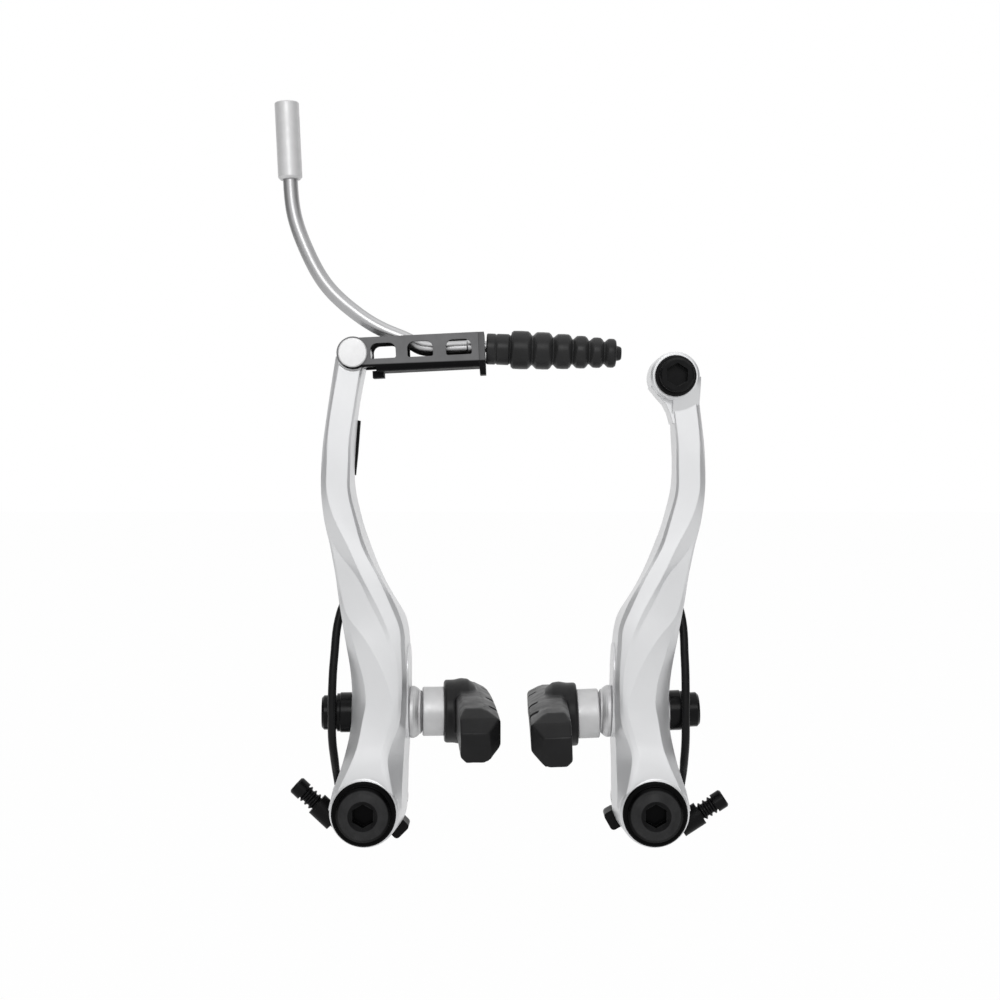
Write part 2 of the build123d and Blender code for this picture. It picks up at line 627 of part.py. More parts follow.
def brake_pad():
    profile = make_face(Polyline([
        (PAD_BACK, -PAD_HALF_H + 1.3), (PAD_BACK, PAD_HALF_H - 1.3), (PAD_BACK + 1.3, PAD_HALF_H),
        (PAD_LAYER - 0.35, PAD_HALF_H), (PAD_LAYER, PAD_HALF_H - 0.45), (PAD_LAYER + 0.35, PAD_HALF_H - 0.2),
        (PAD_FACE - 0.4, PAD_FACE_TOP + 0.35), (PAD_FACE, PAD_FACE_TOP - 0.3),
        (PAD_FACE, PAD_FACE_LOW + 0.3), (PAD_FACE - 0.4, PAD_FACE_LOW - 0.35),
        (PAD_LAYER + 0.35, -PAD_HALF_H + 0.2),
        (PAD_LAYER, -PAD_HALF_H + 0.45), (PAD_LAYER - 0.35, -PAD_HALF_H), (PAD_BACK + 1.3, -PAD_HALF_H),
    ], close=True))
    profile = Plane.XZ * profile
    half_angle = math.degrees(PAD_LENGTH / 2 / RIM_R)
    hub = Axis((0, 0, -RIM_R), (1, 0, 0))
    block = revolve(profile, hub, half_angle) + revolve(profile, hub, -half_angle)
    nose = 3.2
    half = PAD_LENGTH / 2
    for end in (-1, 1):
        wedge = Plane.XY.offset(-20) * make_face(Polyline([
            (PAD_FACE + 1, end * (half - nose - 0.8)), (PAD_FACE + 1, end * (half + 2)),
            (PAD_FACE - nose - 0.8, end * (half + 2)), (PAD_FACE - nose + 0.3, end * half),
        ], close=True))
        block = block - extrude(wedge, amount=40)
        crown = PAD_HALF_H - 1.0
        slope = Plane.YZ.offset(PAD_BACK - 5) * make_face(Polyline([
            (end * (half - PAD_NOSE), crown), (end * (half - PAD_NOSE * 0.36), crown - PAD_NOSE_DROP * 0.4),
            (end * (half + 0.4), crown - PAD_NOSE_DROP), (end * (half + 2), crown - PAD_NOSE_DROP),
            (end * (half + 2), crown + 4), (end * (half - PAD_NOSE), crown + 4),
        ], close=True))
        block = block - extrude(slope, amount=PAD_FACE - PAD_BACK + 10)
    boss = turned_x([
        (SPACER_TO, 0), (SPACER_TO, PAD_FLANGE_R - 0.4), (SPACER_TO + 0.4, PAD_FLANGE_R),
        (SPACER_TO + PAD_FLANGE_T, PAD_FLANGE_R), (PAD_BACK + 1.6, PAD_FLANGE_R + 0.4),
        (PAD_LAYER - 2.6, PAD_FLANGE_R + 0.2), (PAD_LAYER - 0.6, PAD_FLANGE_R - 1.4), (PAD_LAYER - 0.6, 0),
    ])
    pad = block + boss
    for y in GROOVE_AT:
        groove = box_between(PAD_FACE - GROOVE_D, PAD_FACE + 1, y - GROOVE_W / 2, y + GROOVE_W / 2, -9, 9)
        pad = pad - groove
    return pad - rod_x(STUD_R + STUD_FIT, SPACER_TO - 1, STUD_IN + 0.1)


seat = Pos(SEAT_X, STUD_Y, STUD_Z)
left_aim = seat * Rot(SHOE_PITCH, 0, LEFT_SHOE_YAW)
right_aim = seat * Rot(SHOE_PITCH, RIGHT_SHOE_TILT, 0)
pad = brake_pad()
for side, place, aim in (("left", left, left_aim), ("right", right_leaned, right_aim)):
    node(side + "_inner_dome_washer", place(seat * inner_dome))
    node(side + "_outer_dome_washer", place(seat * outer_dome))
    node(side + "_shoe_spacer", place(aim * spacer))
    node(side + "_shoe_cup_washer", place(aim * cup_washer))
    node(side + "_shoe_nut", place(aim * nut))
    node(side + "_shoe_stud", place(aim * stud))
    node(side + "_brake_pad", place(aim * pad))

# Cable anchor
washer_front = ANCHOR_FRONT - ANCHOR_WASHER_T
anchor_washer = turned_y([
    (ANCHOR_BOLT_R + 0.1, ANCHOR_FRONT), (ANCHOR_WASHER_R - 0.2, ANCHOR_FRONT),
    (ANCHOR_WASHER_R, ANCHOR_FRONT - 0.2), (ANCHOR_WASHER_R, washer_front + 0.3),
    (ANCHOR_WASHER_R - 0.3, washer_front), (ANCHOR_BOLT_R + 0.1, washer_front),
])
head_front = washer_front - ANCHOR_HEAD_T
anchor_bolt = turned_y([
    (0, ANCHOR_FRONT + ANCHOR_BOLT_LENGTH), (ANCHOR_BOLT_R - 0.5, ANCHOR_FRONT + ANCHOR_BOLT_LENGTH),
    (ANCHOR_BOLT_R, ANCHOR_FRONT + ANCHOR_BOLT_LENGTH - 0.5), (ANCHOR_BOLT_R, washer_front),
    (ANCHOR_HEAD_R, washer_front), (ANCHOR_HEAD_R, head_front + 0.5), (ANCHOR_HEAD_R - 0.5, head_front),
    (0, head_front),
])
anchor_bolt = anchor_bolt - hex_y(HEX_AF, head_front, HEX_DEPTH)
at_anchor = Pos(ANCHOR_X, 0, ANCHOR_Z)
node("anchor_washer", right_leaned(at_anchor * anchor_washer))
node("anchor_bolt", right_leaned(at_anchor * anchor_bolt))

# Strip on the inner rear edge of the left arm
STRIP = ((-7.6, 83.6), (-3.3, 82.6), (-2.75, 88.0), (-2.1, 96.4), (-6.6, 97.2))
strip = make_face(Polyline([(x, stretched(z)) for x, z in STRIP], close=True))
strip = extrude(Plane.XZ.offset(9.97) * strip, amount=-1.1)
node("arm_edge_strip", left(strip))


# Lever link: folded channel with ears, windows, end wall and stop tab
def window(at):
    shape = Rectangle(WINDOW_L, WINDOW_H)
    shape = fillet(shape.vertices().group_by(Axis.Y)[-1], WINDOW_H * 0.46)
    shape = fillet(shape.vertices().group_by(Axis.Y)[0], 0.5)
    return extrude(Plane.XZ.offset(30) * (Pos(at, WINDOW_V) * shape), amount=-40)


width = LINK_REAR - LINK_FRONT
height = LINK_TOP - LINK_BOTTOM
outer_u = Rectangle(width, height)
outer_u = fillet(outer_u.vertices().group_by(Axis.Y)[0], LINK_BEND_R)
inner_u = Pos(0, SHEET) * Rectangle(width - 2 * SHEET, height)
inner_u = fillet(inner_u.vertices().group_by(Axis.Y)[0], LINK_BEND_R - SHEET)
channel_plane = Plane(origin=(0, LINK_MID, (LINK_TOP + LINK_BOTTOM) / 2), x_dir=(0, 1, 0), z_dir=(1, 0, 0))
channel = channel_plane.offset(LINK_WEB_FROM) * (outer_u - inner_u)
link = extrude(channel, amount=LINK_END - LINK_END_T - LINK_WEB_FROM)
ear = Circle(LINK_EAR_R) + Pos(LINK_WEB_FROM / 2, 0) * Rectangle(LINK_WEB_FROM, 2 * LINK_TOP)
link = link + extrude(Plane.XZ.offset(-LINK_FRONT) * ear, amount=-SHEET)
link = link + extrude(Plane.XZ.offset(-LINK_REAR) * ear, amount=SHEET)
for at in WINDOW_AT:
    link = link - window(at)
half_w = width / 2 - 0.3
wall = make_face(Polyline([
    (-half_w, LINK_TOP), (half_w, LINK_TOP), (half_w, LINK_BOTTOM), (half_w - 2.6, LINK_TAB),
    (-half_w + 2.6, LINK_TAB), (-half_w, LINK_BOTTOM),
], close=True))
end_plane = Plane(origin=(LINK_END - LINK_END_T, LINK_MID, 0), x_dir=(0, 1, 0), z_dir=(1, 0, 0))
link = link + extrude(end_plane * wall, amount=LINK_END_T)
link = link - rod_x(TIP_NOSE_R + TIP_FIT, LINK_END - 4, LINK_END + 2, LINK_MID, TIP_V)
slot_from = LINK_END - LINK_END_T - 0.5
link = link - box_between(slot_from, LINK_END + 1, LINK_MID - 1.0, LINK_MID + 1.0, TIP_V, LINK_TOP + 1)
stop_tab = box_between(STOP_FROM, STOP_TO, LINK_MID - 1.8, LINK_MID + 1.8, STOP_LOW, LINK_BOTTOM + 0.4)
link = link + stop_tab

rivet = turned_y([
    (0, LINK_REAR + RIVET_HEAD_T), (RIVET_HEAD_R - 0.5, LINK_REAR + RIVET_HEAD_T),
    (RIVET_HEAD_R - 0.3, LINK_REAR), (RIVET_R, LINK_REAR), (RIVET_R, LINK_FRONT), (RIVET_HEAD_R, LINK_FRONT),
    (RIVET_HEAD_R, LINK_FRONT - RIVET_HEAD_T + 0.25), (RIVET_HEAD_R - 0.25, LINK_FRONT - RIVET_HEAD_T),
    (0, LINK_FRONT - RIVET_HEAD_T),
])
link = link - rod_y(RIVET_R, -30, 0)

# Noodle: straight in the ferrule, quarter bend, straight along the channel to the tip
FERRULE_U = -13.95
bend = Spline(
    [
        (FERRULE_U, LINK_MID, FERRULE_LOW), (-13.4, LINK_MID, 35.4),
        (-10.7, LINK_MID, 26.4), (-6.2, LINK_MID, 17.5),
        (0.4, LINK_MID, 10.6), (7.7, LINK_MID, 5.6), (14.2, LINK_MID, 2.4), (22.0, LINK_MID, TIP_V),
    ],
    tangents=[(0, 0, -1), (1, 0, 0)],
)
upper = Line((FERRULE_U, LINK_MID, FERRULE_LOW + 8.0), (FERRULE_U, LINK_MID, FERRULE_LOW))
lower = Line((22.0, LINK_MID, TIP_V), (TIP_COLLAR_FROM + 1.0, LINK_MID, TIP_V))


noodle_line = Wire([upper.edge(), bend.edge(), lower.edge()])


def pipe(radius, bore):
    ring = Plane(origin=upper @ 0, z_dir=upper % 0) * (Circle(radius) - Circle(bore))
    return sweep(ring, path=noodle_line)


COLLAR_END = LINK_END - LINK_END_T - 0.05
collar = Pos(0, LINK_MID, TIP_V) * turned_x([
    (TIP_COLLAR_FROM, TUBE_BORE_R), (TIP_COLLAR_FROM, TUBE_R), (TIP_COLLAR_FROM + 0.4, TIP_COLLAR_R),
    (COLLAR_END, TIP_COLLAR_R), (COLLAR_END, TIP_NOSE_R),
    (TIP_NOSE_END - 0.5, TIP_NOSE_R), (TIP_NOSE_END, TIP_NOSE_R - 0.15), (TIP_NOSE_END, TUBE_BORE_R),
])
tube = pipe(TUBE_R, TUBE_BORE_R) + collar
liner = pipe(LINER_R, LINER_BORE_R)
ferrule = Pos(FERRULE_U, LINK_MID, 0) * revolve(make_face(Polyline([
    (TUBE_R + 0.02, 0, FERRULE_LOW), (FERRULE_R - 0.5, 0, FERRULE_LOW), (FERRULE_R, 0, FERRULE_LOW + 0.6),
    (FERRULE_R, 0, FERRULE_HIGH - 0.2), (FERRULE_R - 0.15, 0, FERRULE_HIGH),
    (HOUSING_BORE_R, 0, FERRULE_HIGH),
    (HOUSING_BORE_R, 0, FERRULE_HIGH - HOUSING_BORE_L), (1.0, 0, FERRULE_HIGH - HOUSING_BORE_L),
    (1.0, 0, FERRULE_LOW + 8.02), (TUBE_R + 0.02, 0, FERRULE_LOW + 8.02),
], close=True)), Axis.Z)

# Boot: collar, then six rings that grow smaller, then the nipple; (start, end, radius) of each ring
RINGS = (
    (6.2, 10.8, 4.73), (12.0, 16.0, 4.6), (17.2, 20.9, 4.32), (22.0, 25.0, 4.02), (26.1, 28.8, 3.75),
    (29.8, 32.2, 3.57),
)
VALLEYS = (3.55, 3.7, 3.45, 3.15, 2.95, 2.8)
BOOT_LENGTH = 33.6
outline = [(0, BOOT_BORE_R), (0, 3.7), (0.2, 3.86), (2.2, 3.86), (2.4, 3.7), (2.6, 3.86), (5.6, 3.86)]
previous = 5.6
for (a, b, r), valley in zip(RINGS, VALLEYS):
    middle = (previous + a) / 2
    outline += [(middle, valley), (a, r - 0.35), (a + 0.5, r), (b - 0.5, r), (b, r - 0.35)]
    previous = b
outline += [(32.4, 1.9), (BOOT_LENGTH - 0.3, 1.66), (BOOT_LENGTH, 1.4), (BOOT_LENGTH, 0.9)]
outline += [(31.0, 0.9), (29.0, 1.5), (6.0, BOOT_BORE_R)]
boot = turned_x(outline)
boot = Pos(BOOT_FROM, LINK_MID, BOOT_V) * Rot(0, BOOT_DROOP, 0) * boot

at_link = Pos(LINK_X, 0, LINK_Z) * Rot(0, -LINK_TURN, 0)
node("lever_link", left(at_link * link))
node("link_rivet", left(at_link * rivet))
node("noodle_tube", left(at_link * tube))
node("noodle_ferrule", left(at_link * ferrule))
node("noodle_liner", left(at_link * liner))
node("noodle_boot", left(at_link * boot))
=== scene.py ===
"""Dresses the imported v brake: silver arms, bare and blackened metal, rubber, springs, boot and stage."""

import math

import bpy
from mathutils import Matrix, Vector


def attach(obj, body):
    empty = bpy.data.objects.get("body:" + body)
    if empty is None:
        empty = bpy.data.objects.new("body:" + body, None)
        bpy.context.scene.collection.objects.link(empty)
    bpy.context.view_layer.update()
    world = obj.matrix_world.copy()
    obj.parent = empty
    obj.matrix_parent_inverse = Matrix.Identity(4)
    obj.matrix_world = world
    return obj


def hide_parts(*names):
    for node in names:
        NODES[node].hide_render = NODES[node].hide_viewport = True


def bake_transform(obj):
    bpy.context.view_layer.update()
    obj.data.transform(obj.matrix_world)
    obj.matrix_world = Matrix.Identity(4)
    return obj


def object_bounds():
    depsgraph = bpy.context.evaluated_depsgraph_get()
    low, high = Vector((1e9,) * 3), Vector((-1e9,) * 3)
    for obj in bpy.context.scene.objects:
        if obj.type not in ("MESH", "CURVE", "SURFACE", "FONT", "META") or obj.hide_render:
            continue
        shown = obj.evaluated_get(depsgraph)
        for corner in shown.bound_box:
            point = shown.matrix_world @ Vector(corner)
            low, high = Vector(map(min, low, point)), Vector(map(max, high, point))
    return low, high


bl_info = {
    "name": "V brake finish",
    "version": (1, 0, 0),
    "blender": (4, 5, 0),
    "location": "View3D > Sidebar > V brake",
    "description": "Finishes the packed v brake: painted arms, metal, rubber, springs, boot and stage",
    "category": "Object",
}

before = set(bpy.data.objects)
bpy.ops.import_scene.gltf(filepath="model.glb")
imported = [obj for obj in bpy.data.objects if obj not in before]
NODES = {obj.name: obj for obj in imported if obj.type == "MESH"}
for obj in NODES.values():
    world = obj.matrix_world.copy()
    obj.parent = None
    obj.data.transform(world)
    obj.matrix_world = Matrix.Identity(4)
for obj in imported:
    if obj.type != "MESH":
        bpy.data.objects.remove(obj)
CAD_LOW, CAD_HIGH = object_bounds()

MM = 0.001
HALF_SPACING = 35.55 * MM
SIDES = ("left", "right")


def colour_property(name, description, default):
    return bpy.props.FloatVectorProperty(
        name=name, description=description, subtype="COLOR", size=3, min=0.0, max=1.0, default=default
    )


def length_property(name, description, default):
    return bpy.props.FloatProperty(
        name=name, description=description, unit="LENGTH", subtype="DISTANCE", precision=5, default=default
    )


class BrakeColours(bpy.types.PropertyGroup):
    """Colours of the brake's finishes, with painted shade on the mounting bolts and the link."""

    silver: colour_property("Silver paint", "Satin paint of both arms", (0.76, 0.765, 0.775))
    aluminium: colour_property("Bare aluminium", "Rivet, bushes and ferrule", (0.78, 0.78, 0.785))
    spacer: colour_property("Blasted aluminium", "Spacers of the shoes", (0.64, 0.64, 0.645))
    steel: colour_property("Polished steel", "Bent guide tube", (0.42, 0.42, 0.425))
    dark_steel: colour_property("Dull washers", "Dome washers of the shoes", (0.58, 0.58, 0.585))
    black_steel: colour_property("Blackened steel", "Nuts, screws and springs", (0.006, 0.006, 0.0065))
    bolt: colour_property("Bolt domes", "Low domes of the mounting bolts", (0.045, 0.045, 0.046))
    # Painted shade on the mounting bolts: black on the outer rings and in the sockets, dark in the sinks.
    bolt_painted_shade: colour_property("Bolt flanges", "Flanges and sockets of the bolts", (0.002, 0.002, 0.0022))
    sink_painted_shade: colour_property("Bolt sinks", "Dark sinks around the sockets", (0.014, 0.014, 0.0145))
    link: colour_property("Link coat", "Grey coat of the folded link's faces", (0.235, 0.235, 0.24))
    # Painted shade on the link: dark on the cut edges and folds, the inside faces and the foot.
    link_painted_shade: colour_property("Link edges", "Dark cut edges and folds of the link", (0.005, 0.005, 0.0055))
    rubber: colour_property("Pad rubber", "Brake pads", (0.011, 0.011, 0.0115))
    boot: colour_property("Boot rubber", "Bellows boot", (0.026, 0.026, 0.0265))
    plastic: colour_property("Black plastic", "Spring cases and edge strip", (0.007, 0.007, 0.0073))
    liner: colour_property("Liner plastic", "Low-friction liner in the guide tube", (0.5, 0.49, 0.46))


class BrakeSpringSizes(bpy.types.PropertyGroup):
    """Wire, coil and places of the return springs."""

    wire_radius: length_property("Wire radius", "Half of the leg's thickness with its coat", 1.05 * MM)
    coil_share: bpy.props.FloatProperty(
        name="Coil wire",
        description="Thickness of the coil's wire as a share of the leg's",
        default=0.9,
        min=0.5,
        max=1,
    )
    coil_radius: length_property("Coil radius", "Radius of the coil's centre line", 7.3 * MM)
    coil_rear: length_property("Coil start", "Depth of the coil's first turn", -3.6 * MM)
    coil_pitch: length_property("Coil pitch", "Rise of the coil per turn", 1.93 * MM)
    coil_turns: bpy.props.IntProperty(
        name="Turns", description="Full turns of the coil", default=2, min=1, max=6
    )
    right_leg_in: length_property("Right leg", "Shift of the right leg's middle inwards", 0.9 * MM)
    lean: bpy.props.FloatProperty(
        name="Right lean",
        description="Lean of the anchor side's arm",
        subtype="ANGLE",
        default=math.radians(1.3),
    )


class BrakeBootSizes(bpy.types.PropertyGroup):
    """Place and rounding of the bellows boot."""

    segments: bpy.props.IntProperty(
        name="Segments", description="Faces around the boot", default=72, min=16, max=160
    )
    rounding: length_property("Rounding", "Rounding of the rings' edges", 0.22 * MM)
    droop: bpy.props.FloatProperty(
        name="Droop",
        description="Turn of the boot out of the link's line",
        subtype="ANGLE",
        default=math.radians(4.8),
    )
    link_turn: bpy.props.FloatProperty(
        name="Link turn",
        description="Rise of the link at rest",
        subtype="ANGLE",
        default=math.radians(2.8),
    )


class BrakePadSizes(bpy.types.PropertyGroup):
    """Moulding of the brake pads."""

    grain: length_property("Moulding step", "Size of the cells that the pad is moulded in", 0.3 * MM)
    rounding: bpy.props.IntProperty(
        name="Rounding", description="Passes that round the edges", default=6, min=0, max=30
    )


class BrakeStageSettings(bpy.types.PropertyGroup):
    """Floor, lamps and camera."""

    floor_drop: length_property("Floor drop", "Room between the brake and the floor", 18 * MM)
    key_power: bpy.props.FloatProperty(name="Front lamp", description="Power in watts", default=3.8, min=0)
    top_power: bpy.props.FloatProperty(name="Top lamp", description="Power in watts", default=2.0, min=0)
    ambient: bpy.props.FloatProperty(
        name="Room light", description="Strength of the even light", default=0.32, min=0
    )
    camera_distance: length_property("Camera distance", "From the camera to the bolts' plane", 350 * MM)
    lens: bpy.props.FloatProperty(name="Lens", description="Focal length in millimetres", default=51.96)


class BrakeFinish(bpy.types.PropertyGroup):
    """All settings of the brake."""

    colours: bpy.props.PointerProperty(type=BrakeColours)
    springs: bpy.props.PointerProperty(type=BrakeSpringSizes)
    boot: bpy.props.PointerProperty(type=BrakeBootSizes)
    pads: bpy.props.PointerProperty(type=BrakePadSizes)
    stage: bpy.props.PointerProperty(type=BrakeStageSettings)


def deselect():
    if bpy.context.mode != "OBJECT":
        bpy.ops.object.mode_set(mode="OBJECT")
    bpy.ops.object.select_all(action="DESELECT")


# Finishes: colours of rubbed edges
RUBBED_STEEL = (0.045, 0.045, 0.047, 1.0)
RUBBED_BOLT = (0.06, 0.06, 0.062, 1.0)
RUBBED_RUBBER = (0.025, 0.025, 0.026, 1.0)
RUBBED_WASHER = (0.5, 0.5, 0.505, 1.0)
RUBBED_PLASTIC = (0.03, 0.03, 0.031, 1.0)
RUBBED_LINK = (0.2, 0.2, 0.205, 1.0)

# Mounting bolts: where the dome's tone fades into painted shade at the outer ring, the sink and the socket
DOME_EDGE = (5.95 * MM, 6.3 * MM)
SINK_RIM = (3.6 * MM, 3.75 * MM)
SOCKET_RIM = (3.1 * MM, 3.3 * MM)
SOCKET_DEPTH = (-25.38 * MM, -25.3 * MM)

# Link: its middle plane, then where the grey of its outer faces fades into painted shade at the edges, the
# inside and the foot
LINK_MIDDLE = -15.5 * MM
LINK_SHADE_FACING = (0.75, 0.95)
LINK_SHADE_INSIDE = (4.7 * MM, 5.1 * MM)
LINK_SHADE_FOOT = (111.1 * MM, 111.4 * MM)
LINK_SLOPE = 0.04


class Finish:
    """One node material: mottled colour, uneven gloss, fine grain and softened, slightly rubbed edges."""

    def __init__(self, name, colour, metallic, roughness, shine=0.5):
        self.material = bpy.data.materials.new(name)
        self.material.use_nodes = True
        self.tree = self.material.node_tree
        self.shader = self.tree.nodes["Principled BSDF"]
        self.shader.inputs["Metallic"].default_value = metallic
        self.shader.inputs["Roughness"].default_value = roughness
        self.shader.inputs["Specular IOR Level"].default_value = shine
        self.colour = tuple(colour)
        self.base = self.shade(1.0)
        self.roughness = roughness
        self.coords = self.add("ShaderNodeTexCoord").outputs["Object"]
        self.normal = None
        self.material.diffuse_color = self.base

    def add(self, kind, **settings):
        node = self.tree.nodes.new(kind)
        for key, value in settings.items():
            setattr(node, key, value)
        return node

    def link(self, out, into):
        self.tree.links.new(out, into)

    def stretched(self, scale):
        node = self.add("ShaderNodeMapping")
        node.inputs["Scale"].default_value = scale
        self.link(self.coords, node.inputs["Vector"])
        return node.outputs["Vector"]

    def noise(self, scale, detail, stretch=(1, 1, 1)):
        node = self.add("ShaderNodeTexNoise")
        node.inputs["Scale"].default_value = scale
        node.inputs["Detail"].default_value = detail
        node.inputs["Roughness"].default_value = 0.55
        self.link(self.stretched(stretch), node.inputs["Vector"])
        return node.outputs["Fac"]

    def ranged(self, value, low, high, to_low, to_high):
        node = self.add("ShaderNodeMapRange")
        for key, number in (("From Min", low), ("From Max", high), ("To Min", to_low), ("To Max", to_high)):
            node.inputs[key].default_value = number
        self.link(value, node.inputs["Value"])
        return node.outputs["Result"]

    def shade(self, factor):
        return tuple(min(1.0, c * factor) for c in self.colour) + (1.0,)

    def mix(self, factor, a, b):
        node = self.add("ShaderNodeMix", data_type="RGBA")
        self.link(factor, node.inputs["Factor"])
        for socket, value in ((node.inputs["A"], a), (node.inputs["B"], b)):
            if isinstance(value, tuple):
                socket.default_value = value
            else:
                self.link(value, socket)
        return node.outputs["Result"]

    def product(self, first, second):
        node = self.add("ShaderNodeMath", operation="MULTIPLY")
        self.link(first, node.inputs[0])
        self.link(second, node.inputs[1])
        return node.outputs["Value"]

    def vector(self, operation, first, second=None):
        node = self.add("ShaderNodeVectorMath", operation=operation)
        self.link(first, node.inputs[0])
        if second is not None:
            node.inputs[1].default_value = second
        return node

    def depth(self, vector):
        """The part of a vector that runs from front to rear."""
        node = self.add("ShaderNodeSeparateXYZ")
        self.link(vector, node.inputs["Vector"])
        return node.outputs["Y"]

    def mottle(self, scale, spread):
        """Clouds of a slightly darker and lighter colour."""
        clouds = self.ranged(self.noise(scale, 4.0), 0.3, 0.7, 0.0, 1.0)
        self.base = self.mix(clouds, self.shade(1 - spread), self.shade(1 + spread))
        self.link(self.base, self.shader.inputs["Base Color"])
        return self

    def gloss(self, scale, spread, stretch=(1, 1, 1)):
        """Roughness that varies around its own value."""
        uneven = self.ranged(
            self.noise(scale, 3.0, stretch), 0.3, 0.7, self.roughness - spread, self.roughness + spread
        )
        self.link(uneven, self.shader.inputs["Roughness"])
        return self

    def soft_edges(self, radius, rub=0.0, rub_colour=None):
        """Rounded look of the edges, which rubbing has made paler in patches."""
        bevel = self.add("ShaderNodeBevel", samples=6)
        bevel.inputs["Radius"].default_value = radius
        self.normal = bevel.outputs["Normal"]
        if rub > 0:
            flat = self.add("ShaderNodeNewGeometry").outputs["Normal"]
            dot = self.add("ShaderNodeVectorMath", operation="DOT_PRODUCT")
            self.link(self.normal, dot.inputs[0])
            self.link(flat, dot.inputs[1])
            edge = self.ranged(dot.outputs["Value"], 0.995, 0.9, 0.0, rub)
            patches = self.ranged(self.noise(700, 4.0), 0.35, 0.65, 0.15, 1.0)
            out = self.mix(self.product(edge, patches), self.base, rub_colour or self.shade(1.25))
            self.link(out, self.shader.inputs["Base Color"])
        return self

    def bump(self, height, distance, strength):
        node = self.add("ShaderNodeBump")
        node.inputs["Strength"].default_value = strength
        node.inputs["Distance"].default_value = distance
        self.link(height, node.inputs["Height"])
        if self.normal is not None:
            self.link(self.normal, node.inputs["Normal"])
        self.normal = node.outputs["Normal"]
        return self

    def turned(self, axis, distance, scale):
        """Fine turning marks, square to the piece's axis."""
        wave = self.add("ShaderNodeTexWave", wave_type="BANDS", bands_direction=axis)
        wave.inputs["Scale"].default_value = scale
        wave.inputs["Distortion"].default_value = 1.2
        wave.inputs["Detail"].default_value = 2.0
        self.link(self.coords, wave.inputs["Vector"])
        return self.bump(wave.outputs["Fac"], distance, 0.6)

    def darkened(self, mask, colour):
        """Another colour where the mask is one."""
        self.base = self.mix(mask, self.base, (*colour, 1.0))
        self.link(self.base, self.shader.inputs["Base Color"])
        return self

    def coat(self, weight, roughness):
        self.shader.inputs["Coat Weight"].default_value = weight
        self.shader.inputs["Coat Roughness"].default_value = roughness
        return self

    def done(self):
        if self.normal is not None:
            self.link(self.normal, self.shader.inputs["Normal"])
        return self.material


def dress(material, *names):
    for name in names:
        mesh = NODES[name].data
        mesh.materials.clear()
        mesh.materials.append(material)


def both(*kinds):
    return [f"{side}_{kind}" for side in SIDES for kind in kinds]


def colours():
    return bpy.context.scene.brake_finish.colours


def silver_paint():
    paint = Finish("silver_paint", colours().silver, 0.55, 0.36)
    paint.mottle(60, 0.025).gloss(90, 0.04).soft_edges(0.35 * MM, 0.25)
    paint.bump(paint.noise(2600, 2.0), 0.004 * MM, 0.5)
    paint.bump(paint.noise(420, 2.0), 0.012 * MM, 0.35)
    return paint.coat(0.25, 0.2).done()


def bare_aluminium(name, colour, metallic, roughness, axis):
    metal = Finish(name, colour, metallic, roughness)
    metal.mottle(240, 0.05).gloss(500, 0.06).soft_edges(0.18 * MM)
    return metal.turned(axis, 0.006 * MM, 900).done()


def black_oxide():
    metal = Finish("black_oxide", colours().black_steel, 0.0, 0.24, 0.1)
    metal.mottle(300, 0.2).gloss(420, 0.07).soft_edges(0.2 * MM, 0.5, RUBBED_STEEL)
    return metal.bump(metal.noise(2200, 3.0), 0.006 * MM, 0.5).done()


def bolt_dome_and_shade():
    """Dark grey dome on both mounting bolts, with painted shade: black on the outer ring and in the socket,
    dark in the sink.
    """
    metal = Finish("bolt_dome_and_shade", colours().bolt, 0.0, 0.28, 0.04)
    metal.mottle(300, 0.2).gloss(420, 0.07)
    mirrored = metal.vector("ABSOLUTE", metal.coords).outputs["Vector"]
    from_axis = metal.vector("SUBTRACT", mirrored, (HALF_SPACING, 0, 0)).outputs["Vector"]
    flattened = metal.vector("MULTIPLY", from_axis, (1, 0, 1)).outputs["Vector"]
    radius = metal.vector("LENGTH", flattened).outputs["Value"]
    # Painted shade: the outer ring beyond the dome, the sink and the deep socket are painted darker than
    # the dome.
    metal.darkened(metal.ranged(radius, *DOME_EDGE, 0.0, 1.0), colours().bolt_painted_shade)
    metal.darkened(metal.ranged(radius, *SINK_RIM, 1.0, 0.0), colours().sink_painted_shade)
    deep = metal.ranged(metal.depth(metal.coords), *SOCKET_DEPTH, 0.0, 1.0)
    near_axis = metal.ranged(radius, *SOCKET_RIM, 1.0, 0.0)
    metal.darkened(metal.product(deep, near_axis), colours().bolt_painted_shade)
    metal.soft_edges(0.2 * MM, 0.3, RUBBED_BOLT)
    return metal.bump(metal.noise(2200, 3.0), 0.006 * MM, 0.5).done()


def moulded_rubber(name, colour, roughness, grain, depth):
    rubber = Finish(name, colour, 0.0, roughness, 0.18)
    rubber.mottle(180, 0.22).gloss(260, 0.08).soft_edges(0.25 * MM, 0.3, RUBBED_RUBBER)
    return rubber.bump(rubber.noise(grain, 4.0), depth * MM, 0.6).done()


class BRAKE_OT_paint_arms(bpy.types.Operator):
    """Give both arms their satin silver paint"""

    bl_idname = "brake.paint_arms"
    bl_label = "Paint arms"

    def execute(self, context):
        dress(silver_paint(), *both("arm"))
        return {"FINISHED"}


